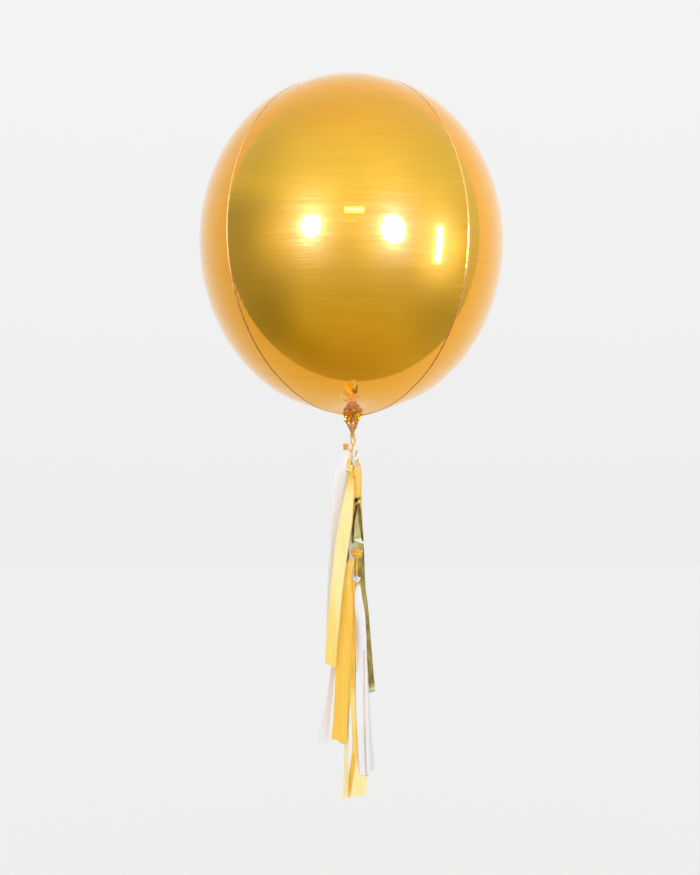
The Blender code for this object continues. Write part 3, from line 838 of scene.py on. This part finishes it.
def ribbon_rows(ribbon, layer, rng):
    """One layer of a ribbon. The layers behind the first look narrower, because they stand edgeways to it."""
    behind = layer > 0
    marks = [Vector((x, width, y)) for y, x, width, tone in ribbon.rows]
    route = smooth_route(marks, RIBBON_STEP)
    heights = [row[0] for row in ribbon.rows]
    tones = [row[3] for row in ribbon.rows]
    side_step = rng.uniform(-0.8, 0.8) * behind
    shorter = rng.uniform(0.0, 5.0) * behind
    narrowing = rng.uniform(0.55, 0.75) if behind else 1.0
    edgeways = rng.uniform(0.65, 0.90) * (1 if layer % 2 else -1) * behind
    phase = rng.uniform(0.0, math.tau)
    tone_step = rng.uniform(-0.15, 0.10) * behind
    reach = route[-1].z - route[0].z
    side = math.copysign(ROOT_DEPTH, ribbon.depth)
    rows = []
    for mark in route:
        t = (mark.z - route[0].z) / reach
        down = (mark.z - route[0].z) * PIXEL_SIZE
        settled = 1.0 - math.exp(-down / LAYER_LENGTH)
        half = max(mark.y, THINNEST) / 2 * PIXEL_SIZE * narrowing
        angle = (edgeways + ribbon.turn * math.sin(3.1 * t + phase)) * settled
        clear = half * abs(math.tan(angle)) + LAYER_GAP * layer if behind else 0.0
        depth = side + (ribbon.depth + clear - side) * settled
        x = mark.x + side_step * smooth_step(t * 3.0)
        middle = place_at(x, mark.z - shorter * t, depth)
        across = Vector((half, half * math.tan(angle), 0.0))
        through = Vector((-math.sin(angle), math.cos(angle), 0.0))
        tone = float(np.interp(mark.z, heights, tones)) + tone_step
        rows.append((middle, across, through, tone))
    return rows


def tissue_relief(rng, narrow):
    """Long soft creases that run down a strip, with the fine crinkle of tissue."""
    phase = rng.uniform(0, math.tau)
    creases = rng.uniform(1.2, 2.6)
    curl = rng.uniform(-0.9, 0.9)
    seed = rng.uniform(0, 90)
    size = NARROW_RELIEF if narrow else 1.0

    def relief(u, t):
        open_share = smooth_step(t / 0.12)
        fold = math.sin(creases * math.pi * u + phase + 2.5 * t)
        crinkle = noise.noise(Vector((u * 1.6 + seed, t * 22.0, seed)))
        return size * (0.0008 * curl * (u * u - 0.3) * open_share + 0.00030 * fold + 0.00026 * crinkle)

    return relief


def foil_relief(rng, narrow):
    """Stiff facets of crumpled foil."""
    seed = rng.uniform(0, 90)
    curl = rng.uniform(-1, 1)
    size = NARROW_RELIEF if narrow else 1.0

    def relief(u, t):
        facet = noise.noise(Vector((u * 0.9 + seed, t * 11.0, seed)))
        sharp = abs(noise.noise(Vector((u * 1.9 + seed, t * 21.0, 7.0 + seed))))
        return size * (0.0006 * facet - 0.0008 * sharp + 0.0007 * curl * (u * u - 0.3))

    return relief


def end_cut(rng, slant, width):
    """How far below its middle a strip's cut end reaches, across its width."""
    seed = rng.uniform(0, 50)
    rag = WIDE_RAG if width > NARROW else NARROW_RAG

    def cut(u):
        return slant * PIXEL_SIZE / 2 * u + rag * noise.noise(Vector((u * 3.0 + seed, seed, 0.3)))

    return cut


def add_knot(form, centre, size, rng, tone):
    """A pulled, crumpled knot with folds that run up and down it."""
    half = Vector(size) / 2
    seed = rng.uniform(0, 50)
    points = []
    for i in range(1, KNOT_ROWS):
        t = math.pi * i / KNOT_ROWS
        for a in turns(KNOT_COLUMNS):
            unit = Vector((math.sin(t) * math.cos(a), math.sin(t) * math.sin(a), math.cos(t)))
            fold = abs(math.sin(2.5 * a + 3.0 * noise.noise(unit * 1.7 + Vector((seed, 0, 0)))))
            crumple = noise.noise(unit * 3.2 + Vector((seed, 2, 0)))
            r = 1.0 - KNOT_FOLD + KNOT_FOLD * fold + KNOT_CRUMPLE * crumple
            points.append(centre + unit * half * r)
    top = Vector((0, 0, half.z))
    add_tube(form, points, KNOT_COLUMNS, (centre + top, centre - top), tone)


def add_loop(form, centre, turned, length, rng, tone, make_relief):
    """A small bow loop of the paper that stands out of a knot, turned by degrees from the right upwards."""
    way = Vector((math.cos(math.radians(turned)), 0.0, math.sin(math.radians(turned))))
    lift = Vector((0.0, -1.0, 0.0))
    lift.rotate(Matrix.Rotation(rng.uniform(-0.7, 0.7), 3, way))
    side = way.cross(lift)
    rows = []
    open_by = length * rng.uniform(0.16, 0.26)
    half = length * rng.uniform(0.17, 0.24)
    for i in range(BOW_STEPS + 1):
        a = math.tau * i / BOW_STEPS
        out = (1.0 - math.cos(a)) / 2
        middle = centre + way * length * out + lift * open_by * math.sin(a) * (0.4 + out)
        slope = lift * math.cos(a) + way * -math.sin(a)
        rows.append((middle, side * half * (0.35 + 0.65 * out), slope, tone + rng.uniform(-0.2, 0.2)))
    add_ribbon(form, rows, make_relief(rng, True), lambda u: 0.0)


def make_tassel(tassel, seed):
    rng = random.Random(seed)
    middle = cord_point(-tassel.drop) + Vector((tassel.shift, 0, 0))
    foil = tassel.slot == "gold_foil"
    make_relief = foil_relief if foil else tissue_relief
    knot_tone, loop_tone, sharp = FOIL_LOOK if foil else TISSUE_LOOK
    form = Form()
    add_knot(form, middle, tassel.size, rng, knot_tone)
    front = middle + Vector((0, -tassel.size[1] * LOOPS_FORWARD, 0))
    for turned, length in tassel.loops:
        add_loop(form, front, turned, length, rng, loop_tone, make_relief)
    for ribbon in tassel.ribbons:
        width = max(row[2] for row in ribbon.rows)
        for layer in range(ribbon.layers):
            rows = ribbon_rows(ribbon, layer, rng)
            relief = make_relief(rng, width < NARROW)
            add_ribbon(form, rows, relief, end_cut(rng, ribbon.slant, width))
    obj = form.add_object(tassel.node + "_strips", sharp)
    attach(obj, "root")
    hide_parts(tassel.node)
    return obj


def make_tie(tassel):
    """The cord that is tied round a tassel's knot."""
    width, depth, height = tassel.size
    waist = cord_point(-tassel.drop) + Vector((tassel.shift * 0.6, 0, -height * 0.30))
    form = Form()
    for drop, tilt in TIE_TURNS:
        ring = []
        for a in turns(TIE_STEPS):
            z = tilt * math.cos(a + 0.6) - drop
            ring.append(waist + Vector((width * 0.42 * math.cos(a), depth * 0.44 * math.sin(a), z)))
        add_rope(form, ring, TIE_DIAMETER, closed=True, pitch=TIE_PITCH)
    if tassel.tie_knot:
        *place, size = tassel.tie_knot
        route = trefoil(place_at(*place), (size, size * 0.6, size * 1.2), 0.5)
        add_rope(form, route, TIE_KNOT_DIAMETER, closed=True)
    tie = form.add_object(tassel.node + "_tie")
    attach(tie, "root")
    return tie


# Materials

# Colour ramps: the place on the ramp and the colour there
FILM_STOPS = ((0.32, (0.95, 0.475, 0.036)), (0.68, (0.985, 0.515, 0.044)))
# The weld's darkest browns are also the neck's painted shade.
WELD_AND_NECK_SHADE_STOPS = ((0.3, (0.90, 0.54, 0.19)), (0.6, (0.80, 0.37, 0.09)), (1.0, (0.27, 0.09, 0.018)))
CORD_STOPS = ((0.3, (0.68, 0.32, 0.05)), (0.5, (0.98, 0.60, 0.11)), (0.75, (1.0, 0.78, 0.24)))
# The foil's two darkest stops are painted shade and its whitest stop a painted highlight.
FOIL_STOPS = (
    (0.0, (0.045, 0.030, 0.010)),
    (0.25, (0.22, 0.15, 0.045)),
    (0.45, (0.44, 0.33, 0.13)),
    (0.75, (0.72, 0.62, 0.36)),
    (1.0, (0.98, 0.96, 0.88)),
)
TISSUES = {
    "white_tissue": [
        # The two lowest stops, tan and peach, are painted shade on the white paper.
        (0.0, (0.66, 0.50, 0.42)),
        (0.12, (0.92, 0.68, 0.50)),
        (0.25, (0.84, 0.81, 0.83)),
        (0.5, (0.88, 0.87, 0.90)),
        (0.8, (0.90, 0.895, 0.925)),
        (1.0, (0.92, 0.935, 1.0)),
    ],
    "yellow_tissue": [
        (0.0, (0.90, 0.42, 0.04)),
        (0.25, (1.0, 0.66, 0.13)),
        (0.5, (1.0, 0.74, 0.20)),
        (0.9, (1.0, 0.88, 0.42)),
    ],
    "orange_tissue": [
        (0.0, (0.92, 0.42, 0.04)),
        (0.3, (1.0, 0.58, 0.08)),
        (0.6, (1.0, 0.64, 0.11)),
        (1.0, (1.0, 0.74, 0.24)),
    ],
}


def plug(tree, node, inputs):
    """Links a node's inputs from sockets, or sets them to values."""
    for key, value in inputs.items():
        if isinstance(value, bpy.types.NodeSocket):
            tree.links.new(value, node.inputs[key])
        else:
            node.inputs[key].default_value = value


def add_node(tree, kind, inputs=None, **settings):
    """A node with its settings and inputs."""
    node = tree.nodes.new(kind)
    for key, value in settings.items():
        setattr(node, key, value)
    plug(tree, node, inputs or {})
    return node


def make_material(name, look):
    """A material whose shader takes the inputs that its look makes in the node tree."""
    material = bpy.data.materials.new(name)
    material.use_nodes = True
    tree = material.node_tree
    plug(tree, tree.nodes["Principled BSDF"], look(tree))
    return material


def cleared_tree(data):
    """The empty node tree of a material or a world."""
    data.use_nodes = True
    data.node_tree.nodes.clear()
    return data.node_tree


def math_node(tree, operation, a, b):
    return add_node(tree, "ShaderNodeMath", {0: a, 1: b}, operation=operation).outputs["Value"]


def vector_node(tree, operation, inputs):
    return add_node(tree, "ShaderNodeVectorMath", inputs, operation=operation).outputs


def mix(tree, factor, a, b):
    """Two colours mixed by a factor."""
    return add_node(tree, "ShaderNodeMix", {"Factor": factor, 6: a, 7: b}, data_type="RGBA").outputs[2]


def object_noise(tree, scale, stretch=(1, 1, 1), detail=3.0, roughness=0.5):
    """Noise in the object's own space, stretched along its axes."""
    place = add_node(tree, "ShaderNodeTexCoord").outputs["Object"]
    mapped = add_node(tree, "ShaderNodeMapping", {"Vector": place, "Scale": stretch})
    return add_node(
        tree,
        "ShaderNodeTexNoise",
        {"Vector": mapped.outputs["Vector"], "Scale": scale, "Detail": detail, "Roughness": roughness},
    ).outputs["Fac"]


def ramp(tree, factor, stops):
    """A colour ramp over a factor: stops are (place, colour)."""
    node = add_node(tree, "ShaderNodeValToRGB", {"Fac": factor})
    elements = node.color_ramp.elements
    while len(elements) < len(stops):
        elements.new(0.5)
    for element, (place, colour) in zip(elements, stops):
        element.position = place
        element.color = (*colour, 1.0)
    return node.outputs["Color"]


def remap(tree, value, low, high, to_low, to_high, smooth=False):
    """A value carried from one range to another, and held at its ends."""
    limits = {"From Min": low, "From Max": high, "To Min": to_low, "To Max": to_high}
    kind = "SMOOTHSTEP" if smooth else "LINEAR"
    node = add_node(tree, "ShaderNodeMapRange", {"Value": value, **limits}, interpolation_type=kind)
    return node.outputs["Result"]


def fine_relief(tree, height, strength, distance):
    """The normal of a fine relief, by its height."""
    inputs = {"Height": height, "Strength": strength, "Distance": distance}
    return add_node(tree, "ShaderNodeBump", inputs).outputs["Normal"]


def toned(tree, *clouds):
    """The tone that each point carries, moved up and down by clouds: a noise and how far it moves it."""
    tone = add_node(tree, "ShaderNodeAttribute", attribute_name="tone").outputs["Fac"]
    for cloud, spread in clouds:
        tone = math_node(tree, "ADD", tone, remap(tree, cloud, 0.3, 0.7, -spread, spread))
    return tone


def film_look(tree):
    """Gold metallised film: a mirror with fine level streaks, under clear lacquer that glows round lights."""
    streaks = object_noise(tree, 1.0, stretch=(10, 10, 230), detail=4.0, roughness=0.65)
    return {
        "Base Color": ramp(tree, streaks, FILM_STOPS),
        "Metallic": 1.0,
        "Roughness": remap(tree, streaks, 0.3, 0.7, 0.03, 0.08),
        "Coat Weight": remap(tree, streaks, 0.35, 0.65, 0.60, 1.0),
        "Coat Roughness": 0.34,
        "Coat IOR": 1.25,
        "Sheen Weight": 0.35,
        "Sheen Roughness": 0.30,
        "Normal": fine_relief(tree, streaks, 0.09, 0.0004),
        "Coat Normal": fine_relief(tree, streaks, 0.45, 0.0008),
    }


def weld_and_neck_shade_look(tree):
    """The welded edges of the gores and the gathered neck: duller film, browner towards the foot. On the neck
    its browns are painted shade in the folds' valleys and over the lower neck.
    """
    cloud = object_noise(tree, 160.0, detail=2.0)
    return {
        "Base Color": ramp(tree, toned(tree, (cloud, 0.15)), WELD_AND_NECK_SHADE_STOPS),
        "Roughness": 0.4,
        "Specular IOR Level": 0.35,
        "Normal": fine_relief(tree, cloud, 0.3, 0.0006),
    }


def cord_look(tree):
    fibres = object_noise(tree, 900.0, detail=2.0)
    return {
        "Base Color": ramp(tree, fibres, CORD_STOPS),
        "Metallic": 0.15,
        "Roughness": 0.45,
        "Normal": fine_relief(tree, fibres, 0.4, 0.0003),
    }


def tissue_look(tree, stops):
    """Matte tissue paper: the tone that each strip carries, which holds painted light and shade as well as
    the paper's own shades, with a little cloud and fine streaks down it.
    """
    cloud = object_noise(tree, 60.0, stretch=(1, 1, 0.25), detail=4.0)
    streaks = object_noise(tree, 380.0, stretch=(1, 1, 0.02), detail=2.0)
    fibre = object_noise(tree, 700.0, stretch=(1, 1, 0.3), detail=3.0)
    return {
        "Base Color": ramp(tree, toned(tree, (cloud, 0.10), (streaks, 0.17)), stops),
        "Roughness": 0.8,
        "Specular IOR Level": 0.2,
        "Normal": fine_relief(tree, fibre, 0.2, 0.0003),
    }


def foil_look(tree):
    """Stiff gold foil, coloured by the tone that each strip carries: its low tones are painted shade in
    creases and along edges, its top tone a painted highlight.
    """
    cloud = object_noise(tree, 120.0, stretch=(1, 1, 0.5), detail=3.0)
    crinkle = object_noise(tree, 130.0, detail=2.0)
    return {
        "Base Color": ramp(tree, toned(tree, (cloud, 0.12)), FOIL_STOPS),
        "Metallic": 0.9,
        "Roughness": 0.28,
        "Normal": fine_relief(tree, crinkle, 0.3, 0.0006),
    }


def paint(obj, *materials):
    for material in materials:
        obj.data.materials.append(material)


# Stage

FLOOR_HEIGHT = -1.15
FLOOR_SIZE = 18.0
FLOOR_COLOUR = (0.845, 0.845, 0.845, 1.0)
SQUARE = ((-0.5, -0.5), (0.5, -0.5), (0.5, 0.5), (-0.5, 0.5))
# The pixel height at which the envelope is widest
EQUATOR_PIXEL = 245
LAMP = 220.0
WHITE = (1.0, 0.985, 0.95)
CREAM = (1.0, 0.96, 0.86)
WARM = (1.0, 0.86, 0.45)
# The wall behind fills the directions for which this vector's product with them is over the edge
WALL_AXIS = (-0.074, 1.0, -0.055)
WALL_EDGE = 0.262
WALL_COLOUR = (0.87, 0.87, 0.87)
WALL_EDGE_SOFT = 0.006
# The wall from its far sides to straight behind
WALL_STOPS = ((0.25, (0.84, 0.72, 0.56)), (0.60, (0.85, 0.79, 0.72)), (0.88, WALL_COLOUR))
# The studio in front, from the floor at -1 to the ceiling at 1, and how dark it is at its sides
ROOM_STOPS = (
    (-1.0, (0.50, 0.42, 0.10)),
    (-0.93, (0.55, 0.48, 0.16)),
    (-0.80, (0.58, 0.54, 0.20)),
    (-0.60, (0.58, 0.59, 0.27)),
    (-0.35, (0.63, 0.66, 0.40)),
    (-0.15, (0.68, 0.72, 0.50)),
    (0.04, (0.74, 0.80, 0.62)),
    (0.25, (0.82, 0.92, 0.78)),
    (0.45, (0.90, 1.02, 0.94)),
    (0.78, (0.91, 1.01, 0.98)),
    (0.95, (0.93, 0.92, 0.90)),
    (1.0, (0.91, 0.87, 0.84)),
)
ROOM_BRIGHTEST = 1.25
LEFT_DARKEST = 0.56
RIGHT_DARKEST = 0.70
GLOW_COLOUR = (1.0, 1.0, 0.9)
FILL_COLOUR = (1.0, 1.0, 1.01)
# Soft light and shade on the walls in front: the way to its middle, how tight it is, and how strong
GLOWS = (
    ((-0.412, -0.898, 0.153), 15.0, 0.41),
    ((0.297, -0.955, -0.005), 24.0, 0.32),
    ((-0.812, -0.583, 0.035), 18.0, 0.37),
    ((0.900, -0.432, -0.052), 16.0, 0.55),
    ((-0.652, 0.128, 0.748), 6.0, -0.20),
    ((0.711, 0.279, 0.645), 4.5, -0.15),
    ((0.381, -0.779, 0.498), 17.0, 0.15),
    ((-0.547, -0.126, -0.828), 16.0, -0.14),
)


def reflected_way(px, py):
    """(place on the envelope, direction) that the camera sees at a pixel by its mirror reflection."""
    camera = bpy.context.scene.camera.location
    ray = place_at(px, py, 0.0) - camera
    ray.normalize()
    centre = Vector((BALLOON_SHIFT, 0.0, EQUATOR))
    rise = CROWN_RISE if py < EQUATOR_PIXEL else FOOT_DROP
    scale = Vector((2 / BALLOON_WIDTH, 2 / BALLOON_WIDTH, 1 / rise))
    start = (camera - centre) * scale
    way = ray * scale
    a, b, c = way.dot(way), start.dot(way), start.dot(start) - 1.0
    reach = (-b - math.sqrt(b * b - a * c)) / a
    place = camera + ray * reach
    normal = ((place - centre) * scale * scale).normalized()
    return place, (ray - normal * 2.0 * ray.dot(normal)).normalized()


def light_material(name, colour, strength, faded_size):
    """Plain light, which fades out towards the edges of a panel if its size is given."""
    material = bpy.data.materials.new(name)
    tree = cleared_tree(material)
    light = {"Color": (*colour, 1.0), "Strength": strength}
    shader = add_node(tree, "ShaderNodeEmission", light).outputs["Emission"]
    if faded_size:
        width, height = faded_size
        place = add_node(tree, "ShaderNodeTexCoord").outputs["Object"]
        scale = {"Vector": place, "Scale": (2 / width, 2 / height, 1.0)}
        mapped = add_node(tree, "ShaderNodeMapping", scale).outputs["Vector"]
        kind = "QUADRATIC_SPHERE"
        ball = add_node(tree, "ShaderNodeTexGradient", {"Vector": mapped}, gradient_type=kind).outputs["Fac"]
        clear = add_node(tree, "ShaderNodeBsdfTransparent").outputs["BSDF"]
        mixed = add_node(tree, "ShaderNodeMixShader", {"Fac": ball, 1: clear, 2: shader})
        shader = mixed.outputs["Shader"]
    add_node(tree, "ShaderNodeOutputMaterial", {"Surface": shader})
    return material


def soft_box(name, pixel, size, distance, strength, colour, sides=8, fading=False):
    """A soft light that the envelope mirrors at a pixel; an octagon or an oblong."""
    place, way = reflected_way(*pixel)
    face = way.to_track_quat("Z", "Y").to_matrix()
    width, height = size
    outline = SQUARE if sides == 4 else [(0.5 * math.sin(a), 0.5 * math.cos(a)) for a in turns(sides)]
    corners = [(x * width, y * height, 0.0) for x, y in outline]
    lamp = add_mesh(name, corners, [range(len(corners))])
    lamp.matrix_world = Matrix.Translation(place + way * distance) @ face.to_4x4()
    paint(lamp, light_material(name, colour, strength, size if fading else None))
    lamp.visible_camera = False
    lamp.visible_diffuse = False
    lamp.light_linking.receiver_collection = bpy.data.collections["film"]


def make_floor():
    corners = [(x * FLOOR_SIZE, y * FLOOR_SIZE, FLOOR_HEIGHT) for x, y in SQUARE]
    floor = add_mesh("floor", corners, [range(len(corners))])
    matte = {"Base Color": FLOOR_COLOUR, "Roughness": 1.0, "Specular IOR Level": 0.0}
    paint(floor, make_material("floor", lambda tree: matte))
    floor.visible_glossy = False


def dimmed(tree, colour, factor):
    """A colour times a factor."""
    return vector_node(tree, "SCALE", {0: colour, "Scale": factor})["Vector"]


def room_colour(tree, height, side):
    """The studio in front: a pale ceiling, a warm floor, and darker towards its sides."""
    share = remap(tree, height, -1.0, 1.0, 0.0, 1.0)
    stops = [((z + 1.0) / 2.0, tuple(c / ROOM_BRIGHTEST for c in colour)) for z, colour in ROOM_STOPS]
    colour = dimmed(tree, ramp(tree, share, stops), ROOM_BRIGHTEST)
    left = remap(tree, side, -0.50, -0.90, 0.0, 1.0, smooth=True)
    low = remap(tree, height, 0.50, 0.22, 0.35, 1.0, smooth=True)
    right = remap(tree, side, 0.45, 0.95, 0.0, 1.0, smooth=True)
    lower = remap(tree, height, -0.15, -0.50, 0.0, 1.0, smooth=True)
    shade = math_node(tree, "MULTIPLY", left, low)
    colour = dimmed(tree, colour, remap(tree, shade, 0.0, 1.0, 1.0, LEFT_DARKEST))
    shade = math_node(tree, "MULTIPLY", right, lower)
    return dimmed(tree, colour, remap(tree, shade, 0.0, 1.0, 1.0, RIGHT_DARKEST))


def with_glows(tree, colour, way):
    """The studio's colour with the soft patches of light and shade on its walls."""
    for toward, tight, amount in GLOWS:
        near = vector_node(tree, "DOT_PRODUCT", {0: way, 1: toward})["Value"]
        spread = math_node(tree, "POWER", math_node(tree, "MAXIMUM", near, 0.0), tight)
        light = dimmed(tree, tuple(c * amount for c in GLOW_COLOUR), spread)
        colour = vector_node(tree, "ADD", {0: colour, 1: light})["Vector"]
    return colour


def wall_level(tree, height):
    """The pale wall is a little lighter higher up."""
    return remap(tree, height, -0.35, 0.35, 0.94, 1.04)


def wall_colour(tree, side, back, height):
    """The pale wall as the envelope mirrors it, warmer towards its far sides and lighter on the right."""
    lighter = remap(tree, side, -0.95, 0.95, 0.95, 1.13)
    level = math_node(tree, "MULTIPLY", wall_level(tree, height), lighter)
    return dimmed(tree, ramp(tree, back, WALL_STOPS), level)


def make_world():
    """A plain studio: a pale wall behind, and in front what the envelope mirrors."""
    world = bpy.data.worlds.new("studio")
    bpy.context.scene.world = world
    tree = cleared_tree(world)
    way = add_node(tree, "ShaderNodeTexCoord").outputs["Generated"]
    side, back, height = add_node(tree, "ShaderNodeSeparateXYZ", {"Vector": way}).outputs
    room = with_glows(tree, room_colour(tree, height, side), way)
    tilt = vector_node(tree, "DOT_PRODUCT", {0: way, 1: WALL_AXIS})["Value"]
    behind = remap(tree, tilt, WALL_EDGE - WALL_EDGE_SOFT, WALL_EDGE + WALL_EDGE_SOFT, 0.0, 1.0)
    mirrored = mix(tree, behind, room, wall_colour(tree, side, back, height))
    soft = remap(tree, height, -1.0, 1.0, 0.80, 1.12)
    front = remap(tree, back, -1.0, 1.0, 1.10, 0.86)
    fill = dimmed(tree, FILL_COLOUR, math_node(tree, "MULTIPLY", soft, front))
    backdrop = dimmed(tree, WALL_COLOUR, wall_level(tree, height))
    rays = add_node(tree, "ShaderNodeLightPath").outputs
    colour = mix(tree, rays["Is Diffuse Ray"], mirrored, fill)
    colour = mix(tree, rays["Is Camera Ray"], colour, backdrop)
    background = add_node(tree, "ShaderNodeBackground", {"Color": colour, "Strength": 1.0})
    add_node(tree, "ShaderNodeOutputWorld", {"Surface": background.outputs["Background"]})


def make_stage():
    make_floor()
    make_world()
    soft_box("soft_box_left", (311, 225.7), (0.41, 0.36), 1.6, strength=LAMP * 1.3, colour=WHITE)
    soft_box("soft_box_right", (393, 228.5), (0.53, 0.475), 1.6, strength=LAMP * 0.85, colour=WHITE)
    soft_box("strip_light", (438, 242.8), (0.14, 0.58), 1.9, strength=LAMP * 0.8, colour=CREAM, sides=4)
    soft_box("strip_glow", (452, 246), (1.3, 1.3), 2.2, strength=1.6, colour=WARM, sides=4, fading=True)
    soft_box("ceiling_bar", (354.3, 209.7), (0.46, 0.030), 1.9, strength=38.0, colour=WHITE, sides=4)
    soft_box("ceiling_bar_low", (351, 221), (0.36, 0.025), 2.0, strength=1.6, colour=WHITE, sides=4)


make_camera()
cord = make_tail_cord()
neck_knot = make_neck_knot()
balloon = make_balloon()
gold_cord = make_material("gold_cord", cord_look)
paint(cord, gold_cord)
paint(neck_knot, gold_cord)
paint(balloon, make_material("gold_film", film_look), make_material("gold_film_weld_and_neck_shade", weld_and_neck_shade_look))
mark_welds_and_neck_shade(balloon)
# The lamps light only what is in this collection
bpy.data.collections.new("film").objects.link(balloon)
papers = {"gold_foil": make_material("gold_foil", foil_look)}
for name, stops in TISSUES.items():
    papers[name] = make_material(name, lambda tree: tissue_look(tree, stops))
for number, tassel in enumerate(TASSELS):
    paint(make_tassel(tassel, FIRST_SEED + number), papers[tassel.slot])
    paint(make_tie(tassel), gold_cord)
make_stage()
bpy.context.scene.view_settings.view_transform = "Standard"
